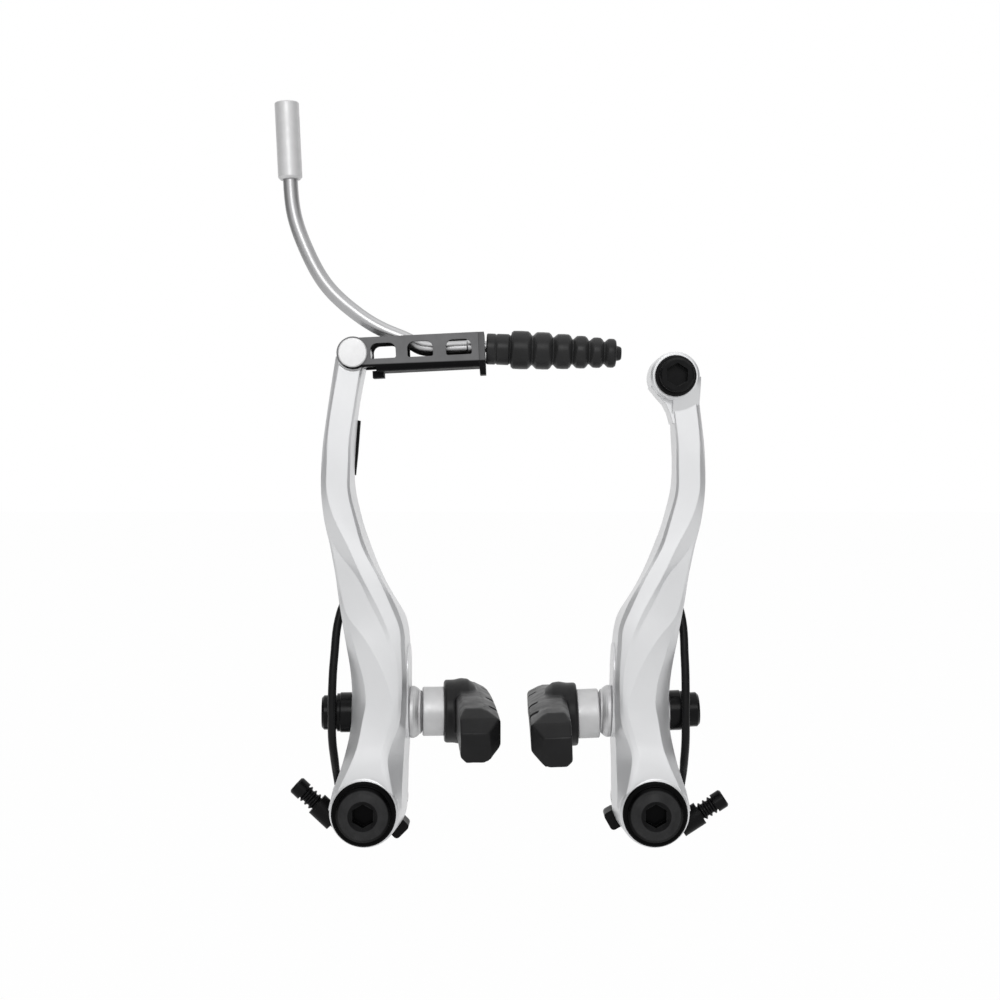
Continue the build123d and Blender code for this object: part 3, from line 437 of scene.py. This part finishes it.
class BRAKE_OT_machine_metal(bpy.types.Operator):
    """Finish the turned aluminium and bare steel pieces"""

    bl_idname = "brake.machine_metal"
    bl_label = "Turned metal"

    def execute(self, context):
        dress(bare_aluminium("turned_spacer", colours().spacer, 0.5, 0.5, "X"), *both("shoe_spacer"))
        dress(bare_aluminium("turned_ferrule", colours().aluminium, 0.25, 0.42, "Z"), "noodle_ferrule")
        bushes = bare_aluminium("turned_bush", colours().aluminium, 0.5, 0.42, "Y")
        dress(bushes, "link_rivet", *both("pivot_bush"))
        steel = Finish("zinc_steel", colours().aluminium, 1.0, 0.36)
        steel.mottle(300, 0.12).gloss(400, 0.08).soft_edges(0.12 * MM)
        dress(
            steel.bump(steel.noise(1500, 3.0), 0.006 * MM, 0.4).done(),
            *both("shoe_stud", "spring_hook_pin"),
        )
        dull = Finish("dull_washer", colours().dark_steel, 0.7, 0.52)
        dull.mottle(260, 0.12).gloss(300, 0.08).soft_edges(0.15 * MM, 0.4, RUBBED_WASHER)
        dress(
            dull.bump(dull.noise(1800, 3.0), 0.008 * MM, 0.5).done(),
            *both("inner_dome_washer", "outer_dome_washer"),
        )
        return {"FINISHED"}


class BRAKE_OT_blacken_fasteners(bpy.types.Operator):
    """Blacken bolts, nuts and cupped washers"""

    bl_idname = "brake.blacken_fasteners"
    bl_label = "Black fasteners"

    def execute(self, context):
        dress(
            black_oxide(),
            "anchor_bolt",
            "anchor_washer",
            *both("shoe_cup_washer", "shoe_nut", "tension_screw"),
        )
        dress(bolt_dome_and_shade(), *both("mounting_bolt"))
        return {"FINISHED"}


class BRAKE_OT_mould_parts(bpy.types.Operator):
    """Finish the spring cases, edge strip and liner"""

    bl_idname = "brake.mould_parts"
    bl_label = "Moulded parts"

    def execute(self, context):
        case = Finish("case_plastic", colours().plastic, 0.0, 0.38, 0.08)
        case.mottle(200, 0.15).gloss(300, 0.06).soft_edges(0.2 * MM, 0.3, RUBBED_PLASTIC)
        dress(
            case.bump(case.noise(1700, 3.0), 0.012 * MM, 0.5).done(),
            "arm_edge_strip",
            *both("spring_case"),
        )
        liner = Finish("liner_plastic", colours().liner, 0.0, 0.4)
        dress(liner.mottle(300, 0.06).gloss(300, 0.05).done(), "noodle_liner")
        return {"FINISHED"}


class BRAKE_OT_mould_pads(bpy.types.Operator):
    """Mould the two rubber brake pads with soft edges"""

    bl_idname = "brake.mould_pads"
    bl_label = "Brake pads"

    def execute(self, context):
        sizes = context.scene.brake_finish.pads
        rubber = moulded_rubber("pad_rubber", colours().rubber, 0.4, 1400, 0.02)
        for side in SIDES:
            deselect()
            node = f"{side}_brake_pad"
            pad = bpy.data.objects.new(f"{side}_pad_block", NODES[node].data.copy())
            context.collection.objects.link(pad)
            pad.select_set(True)
            context.view_layer.objects.active = pad
            bpy.ops.object.mode_set(mode="EDIT")
            bpy.ops.mesh.select_all(action="SELECT")
            bpy.ops.mesh.remove_doubles(threshold=0.002 * MM)
            bpy.ops.object.mode_set(mode="OBJECT")
            cells = pad.modifiers.new("moulding", "REMESH")
            cells.mode = "VOXEL"
            cells.voxel_size = sizes.grain
            bpy.ops.object.modifier_apply(modifier=cells.name)
            soft = pad.modifiers.new("rounding", "SMOOTH")
            soft.factor = 0.5
            soft.iterations = sizes.rounding
            bpy.ops.object.modifier_apply(modifier=soft.name)
            bpy.ops.object.shade_smooth()
            pad.data.materials.clear()
            pad.data.materials.append(rubber)
            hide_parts(node)
            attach(pad, f"{side}_arm_set")
        return {"FINISHED"}


class BRAKE_OT_finish_link(bpy.types.Operator):
    """Finish the folded link, with painted shade on its edges, inside and foot, and the bent guide tube"""

    bl_idname = "brake.finish_link"
    bl_label = "Link and guide tube"

    def execute(self, context):
        coat = Finish("link_coat_and_shade", colours().link, 0.0, 0.5, 0.06)
        coat.mottle(220, 0.08).gloss(300, 0.07)
        facing = coat.add("ShaderNodeNewGeometry").outputs["Normal"]
        facing = coat.depth(coat.vector("ABSOLUTE", facing).outputs["Vector"])
        from_middle = coat.vector("SUBTRACT", coat.coords, (0, LINK_MIDDLE, 0)).outputs["Vector"]
        from_middle = coat.depth(coat.vector("ABSOLUTE", from_middle).outputs["Vector"])
        height = coat.vector("DOT_PRODUCT", coat.coords, (-LINK_SLOPE, 0, 1)).outputs["Value"]
        # Painted shade: faces that don't face front or rear, the inside faces and the foot are painted
        # dark.
        for place, fade in ((facing, LINK_SHADE_FACING), (from_middle, LINK_SHADE_INSIDE), (height, LINK_SHADE_FOOT)):
            coat.darkened(coat.ranged(place, *fade, 1.0, 0.0), colours().link_painted_shade)
        coat.soft_edges(0.2 * MM, 0.2, RUBBED_LINK)
        dress(coat.bump(coat.noise(1900, 3.0), 0.008 * MM, 0.5).done(), "lever_link")
        tube = Finish("polished_tube", colours().steel, 1.0, 0.36)
        tube.mottle(150, 0.04).gloss(220, 0.05, (1, 1, 0.2))
        dress(tube.done(), "noodle_tube")
        return {"FINISHED"}


# Return springs: tail at the screw, coil around the bush, leg in front of the shoe nut to the hook pin
TAIL_BEND = ((10.6, 3.4), (9.6, 0), (8.45, -8), (7.6, -20))
LEG = (
    (-8.1, -9.6, 6.2), (-8.2, -13.8, 11.5), (-8.45, -16.5, 17.0), (-8.5, -17.0, 22.9), (-8.45, -16.7, 29.0),
    (-8.1, -15.6, 37.0), (-6.8, -13.8, 48.0), (-4.3, -12.5, 54.0), (-3.0, -12.0, 58.4),
)
LEG_BOW = (0, 0.3, 0.7, 0.95, 1, 0.9, 0.55, 0.2, 0)
SCREW_ANGLE = {"left": 43.0, "right": 33.0}
TAIL_FROM = 278.0
TAIL_TURN = 36.0
STEPS_PER_TURN = 13


def polar(radius, degrees, y):
    return Vector((radius * math.cos(math.radians(degrees)), y, radius * math.sin(math.radians(degrees))))


def spring_line(side, sizes):
    tail = TAIL_FROM - SCREW_ANGLE[side]
    points = [polar(r * MM, tail + turn, sizes.coil_rear) for r, turn in TAIL_BEND]
    first = tail - TAIL_TURN
    sweep = first - 180 + 360 * sizes.coil_turns
    steps = STEPS_PER_TURN * sizes.coil_turns
    for i in range(steps + 1):
        done = i / steps
        y = sizes.coil_rear - sizes.coil_pitch * sweep / 360 * done
        points.append(polar(sizes.coil_radius, first - sweep * done, y))
    inward = sizes.right_leg_in if side == "right" else 0.0
    points += [Vector(p) * MM + Vector((inward * bow, 0, 0)) for p, bow in zip(LEG, LEG_BOW)]
    place = Matrix.Translation((-HALF_SPACING, 0, 0))
    if side == "right":
        mirror = Matrix.Scale(-1, 4, (1, 0, 0))
        place = Matrix.Translation((HALF_SPACING, 0, 0)) @ Matrix.Rotation(sizes.lean, 4, "Y") @ mirror
    return [place @ p for p in points]


class BRAKE_OT_wind_springs(bpy.types.Operator):
    """Wind the two wire return springs, which bend between the spring case and the arm"""

    bl_idname = "brake.wind_springs"
    bl_label = "Return springs"

    def execute(self, context):
        sizes = context.scene.brake_finish.springs
        wire = Finish("spring_wire", colours().black_steel, 0.0, 0.3, 0.14)
        wire.mottle(300, 0.2).gloss(500, 0.08)
        wire = wire.bump(wire.noise(1800, 2.0), 0.006 * MM, 0.5).done()
        for side in SIDES:
            self.wind(context, side, sizes, wire)
        return {"FINISHED"}

    def wind(self, context, side, sizes, material):
        deselect()
        bpy.ops.curve.primitive_bezier_curve_add(location=(0, 0, 0))
        spring = context.object
        spring.name = f"{side}_spring_wire"
        line = spring_line(side, sizes)
        curve = spring.data
        curve.splines.clear()
        spline = curve.splines.new("BEZIER")
        spline.bezier_points.add(len(line) - 1)
        leg_from = len(line) - len(LEG)
        for number, (point, place) in enumerate(zip(spline.bezier_points, line)):
            point.co = place
            point.radius = 1.0 if number > leg_from else sizes.coil_share
            point.handle_left_type = "AUTO"
            point.handle_right_type = "AUTO"
        spline.resolution_u = 7
        curve.bevel_depth = sizes.wire_radius
        curve.bevel_resolution = 3
        curve.use_fill_caps = True
        bpy.ops.object.convert(target="MESH")
        spring = context.object
        bpy.ops.object.shade_smooth_by_angle(angle=math.radians(40))
        spring.data.materials.clear()
        spring.data.materials.append(material)
        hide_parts(f"{side}_return_spring")
        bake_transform(spring)


# Boot: rings of the bellows as (from, to, radius) and the radius of the valley before each
RINGS = (
    (6.2, 10.8, 4.73), (12.0, 16.0, 4.6), (17.2, 20.9, 4.32), (22.0, 25.0, 4.02), (26.1, 28.8, 3.75),
    (29.8, 32.2, 3.57),
)
VALLEYS = (3.55, 3.7, 3.45, 3.15, 2.95, 2.8)
VALLEY_HALF = 0.12
SHOULDER_WIDTH = 0.5
SHOULDER_DROP = 0.4
CROWN = 0.05

# Collar before the first ring, tip after the last one and the bore, as (along, radius)
COLLAR = ((0, 2.1), (0, 3.62), (0.25, 3.86), (2.1, 3.86), (2.4, 3.6), (2.7, 3.86), (5.5, 3.86))
COLLAR_END = 5.6
TIP = ((32.4, 1.9), (33.2, 1.72), (33.6, 1.4))
BORE = ((33.6, 0.9), (31.0, 0.9), (29.0, 1.5), (6.0, 2.1))

# The link's pivot, and from there the boot's seat along the link
LINK_PIVOT = Vector((-38.45, 0, 112.7)) * MM
BOOT_SEAT = Vector((32.75 * MM, LINK_MIDDLE, -0.2 * MM))


def boot_profile():
    profile = list(COLLAR)
    before = COLLAR_END
    for (start, end, radius), valley in zip(RINGS, VALLEYS):
        middle = (before + start) / 2
        profile += [(middle - VALLEY_HALF, valley), (middle + VALLEY_HALF, valley)]
        profile += [(start, radius - SHOULDER_DROP), (start + SHOULDER_WIDTH, radius)]
        profile += [((start + end) / 2, radius + CROWN)]
        profile += [(end - SHOULDER_WIDTH, radius), (end, radius - SHOULDER_DROP)]
        before = end
    return [(x * MM, r * MM) for x, r in (*profile, *TIP, *BORE)]


class BRAKE_OT_turn_boot(bpy.types.Operator):
    """Model the rubber bellows boot ring by ring"""

    bl_idname = "brake.turn_boot"
    bl_label = "Bellows boot"

    def execute(self, context):
        sizes = context.scene.brake_finish.boot
        profile = boot_profile()
        deselect()
        x0, r0 = profile[0]
        bpy.ops.mesh.primitive_circle_add(
            vertices=sizes.segments, radius=r0, location=(0, 0, 0), rotation=(0, math.pi / 2, 0)
        )
        boot = context.object
        boot.name = "bellows_boot"
        bpy.ops.object.transform_apply(location=True, rotation=True, scale=True)
        bpy.ops.object.mode_set(mode="EDIT")
        bpy.ops.mesh.select_all(action="SELECT")
        for x, r in profile[1:] + profile[:1]:
            bpy.ops.mesh.extrude_region_move(TRANSFORM_OT_translate={"value": (x - x0, 0, 0)})
            bpy.ops.transform.resize(value=(1, r / r0, r / r0), center_override=(x, 0, 0))
            x0, r0 = x, r
        bpy.ops.mesh.select_all(action="SELECT")
        bpy.ops.mesh.remove_doubles(threshold=0.01 * MM)
        bpy.ops.mesh.normals_make_consistent(inside=False)
        bpy.ops.object.mode_set(mode="OBJECT")
        soften = boot.modifiers.new("rounding", "BEVEL")
        soften.width = sizes.rounding
        soften.segments = 3
        soften.limit_method = "ANGLE"
        soften.angle_limit = math.radians(24)
        bpy.ops.object.modifier_apply(modifier=soften.name)
        bpy.ops.object.shade_smooth_by_angle(angle=math.radians(50))
        boot.matrix_world = (
            Matrix.Translation(LINK_PIVOT)
            @ Matrix.Rotation(-sizes.link_turn, 4, "Y")
            @ Matrix.Translation(BOOT_SEAT)
            @ Matrix.Rotation(sizes.droop, 4, "Y")
        )
        bpy.ops.object.transform_apply(location=True, rotation=True, scale=True)
        boot.data.materials.clear()
        boot.data.materials.append(moulded_rubber("boot_rubber", colours().boot, 0.36, 900, 0.012))
        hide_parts("noodle_boot")
        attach(boot, "noodle")
        return {"FINISHED"}


# Stage: aim of the lamps, places and sizes of lamps and cards, and what the camera stands square to
STAGE_MIDDLE = (0.0, -0.01, 0.075)
FRONT_LAMP = ((0.0, -1.15, 0.6), (0.5, 0.5))
TOP_LAMP = ((0.0, -0.1, 1.2), (1.1, 0.9))
CARD_PLACES = {"left": (-0.75, -0.1, 0.1), "right": (0.75, -0.1, 0.1)}
CARD_SIZE = 1.0
CARD_GREY = (0.6, 0.6, 0.6, 1)
FLOOR_SIZE = 8.0
FLOOR_PALE = (0.92, 0.92, 0.92, 1)
FLOOR_GLOW = 0.985
CAMERA_AIM = Vector((0.15, -25.0, 82.69)) * MM
CAMERA_SHIFT = (-0.010, -0.025)


def lamp(name, place, size, power):
    bpy.ops.object.light_add(type="AREA", location=place)
    light = bpy.context.object
    light.name = name
    light.data.shape = "RECTANGLE"
    light.data.size, light.data.size_y = size
    light.data.energy = power
    light.rotation_euler = (Vector(STAGE_MIDDLE) - Vector(place)).to_track_quat("-Z", "Y").to_euler()


def seen_rays(tree):
    """One for rays of the camera, of mirrors and through clear pieces, nought for the light itself."""
    path = tree.nodes.new("ShaderNodeLightPath")
    both_rays = tree.nodes.new("ShaderNodeMath")
    both_rays.operation = "MAXIMUM"
    all_rays = tree.nodes.new("ShaderNodeMath")
    all_rays.operation = "MAXIMUM"
    tree.links.new(path.outputs["Is Camera Ray"], both_rays.inputs[0])
    tree.links.new(path.outputs["Is Glossy Ray"], both_rays.inputs[1])
    tree.links.new(both_rays.outputs["Value"], all_rays.inputs[0])
    tree.links.new(path.outputs["Is Transmission Ray"], all_rays.inputs[1])
    return all_rays.outputs["Value"]


def white_room(world, ambient):
    world.use_nodes = True
    tree = world.node_tree
    light = tree.nodes["Background"]
    light.inputs["Color"].default_value = (1, 1, 1, 1)
    light.inputs["Strength"].default_value = ambient
    seen = tree.nodes.new("ShaderNodeBackground")
    seen.inputs["Color"].default_value = (1, 1, 1, 1)
    seen.inputs["Strength"].default_value = 1.0
    mix = tree.nodes.new("ShaderNodeMixShader")
    tree.links.new(seen_rays(tree), mix.inputs["Fac"])
    tree.links.new(light.outputs["Background"], mix.inputs[1])
    tree.links.new(seen.outputs["Background"], mix.inputs[2])
    tree.links.new(mix.outputs["Shader"], tree.nodes["World Output"].inputs["Surface"])


def floor_paint():
    material = bpy.data.materials.new("pale_floor")
    material.use_nodes = True
    tree = material.node_tree
    paint = tree.nodes["Principled BSDF"]
    paint.inputs["Base Color"].default_value = FLOOR_PALE
    paint.inputs["Roughness"].default_value = 0.9
    glow = tree.nodes.new("ShaderNodeEmission")
    share = tree.nodes.new("ShaderNodeMath")
    share.operation = "MULTIPLY"
    share.inputs[1].default_value = FLOOR_GLOW
    tree.links.new(seen_rays(tree), share.inputs[0])
    mix = tree.nodes.new("ShaderNodeMixShader")
    tree.links.new(share.outputs["Value"], mix.inputs["Fac"])
    tree.links.new(paint.outputs["BSDF"], mix.inputs[1])
    tree.links.new(glow.outputs["Emission"], mix.inputs[2])
    tree.links.new(mix.outputs["Shader"], tree.nodes["Material Output"].inputs["Surface"])
    return material


class BRAKE_OT_set_stage(bpy.types.Operator):
    """Set the floor, the soft lamps, the side cards and the camera"""

    bl_idname = "brake.set_stage"
    bl_label = "Stage"

    def execute(self, context):
        scene = context.scene
        settings = scene.brake_finish.stage
        deselect()
        bpy.ops.mesh.primitive_plane_add(size=FLOOR_SIZE, location=(0, 0, CAD_LOW.z - settings.floor_drop))
        floor = context.object
        floor.name = "floor"
        floor.data.materials.append(floor_paint())
        for side, place in CARD_PLACES.items():
            bpy.ops.mesh.primitive_plane_add(size=CARD_SIZE, location=place, rotation=(0, math.pi / 2, 0))
            card = context.object
            card.name = f"{side}_grey_card"
            card.data.materials.append(self.card_paint(side))
            card.visible_camera = False
            card.visible_shadow = False
            card.visible_diffuse = False
        lamp("front_softbox", *FRONT_LAMP, settings.key_power)
        lamp("top_softbox", *TOP_LAMP, settings.top_power)
        scene.world = bpy.data.worlds.new("white_room")
        white_room(scene.world, settings.ambient)
        stand = CAMERA_AIM - Vector((0, settings.camera_distance, 0))
        bpy.ops.object.camera_add(location=stand, rotation=(math.pi / 2, 0, 0))
        camera = context.object
        camera.data.lens = settings.lens
        camera.data.sensor_width = 36.0
        camera.data.shift_x, camera.data.shift_y = CAMERA_SHIFT
        camera.data.clip_start = 0.01
        camera.data.clip_end = 50
        scene.camera = camera
        scene.view_settings.view_transform = "Standard"
        return {"FINISHED"}

    def card_paint(self, side):
        material = bpy.data.materials.new(f"{side}_card_grey")
        material.use_nodes = True
        paint = material.node_tree.nodes["Principled BSDF"]
        paint.inputs["Base Color"].default_value = CARD_GREY
        paint.inputs["Roughness"].default_value = 1.0
        return material


class BRAKE_PT_finish(bpy.types.Panel):
    """Steps that dress the brake"""

    bl_idname = "BRAKE_PT_finish"
    bl_label = "V brake"
    bl_space_type = "VIEW_3D"
    bl_region_type = "UI"
    bl_category = "V brake"

    def draw(self, context):
        layout = self.layout
        for operator in OPERATORS:
            layout.operator(operator.bl_idname)
        finish = context.scene.brake_finish
        for group in (finish.colours, finish.springs, finish.boot, finish.pads, finish.stage):
            box = layout.box()
            for key in group.bl_rna.properties.keys():
                if key not in ("rna_type", "name"):
                    box.prop(group, key)


GROUPS = (BrakeColours, BrakeSpringSizes, BrakeBootSizes, BrakePadSizes, BrakeStageSettings, BrakeFinish)
OPERATORS = (
    BRAKE_OT_paint_arms,
    BRAKE_OT_machine_metal,
    BRAKE_OT_blacken_fasteners,
    BRAKE_OT_mould_parts,
    BRAKE_OT_mould_pads,
    BRAKE_OT_finish_link,
    BRAKE_OT_wind_springs,
    BRAKE_OT_turn_boot,
    BRAKE_OT_set_stage,
)


def register():
    for cls in GROUPS + OPERATORS + (BRAKE_PT_finish,):
        bpy.utils.register_class(cls)
    bpy.types.Scene.brake_finish = bpy.props.PointerProperty(type=BrakeFinish)


def unregister():
    del bpy.types.Scene.brake_finish
    for cls in reversed(GROUPS + OPERATORS + (BRAKE_PT_finish,)):
        bpy.utils.unregister_class(cls)


def main():
    register()
    bpy.ops.brake.paint_arms()
    bpy.ops.brake.machine_metal()
    bpy.ops.brake.blacken_fasteners()
    bpy.ops.brake.mould_parts()
    bpy.ops.brake.mould_pads()
    bpy.ops.brake.finish_link()
    bpy.ops.brake.wind_springs()
    bpy.ops.brake.turn_boot()
    bpy.ops.brake.set_stage()


if __name__ == "__main__":
    main()
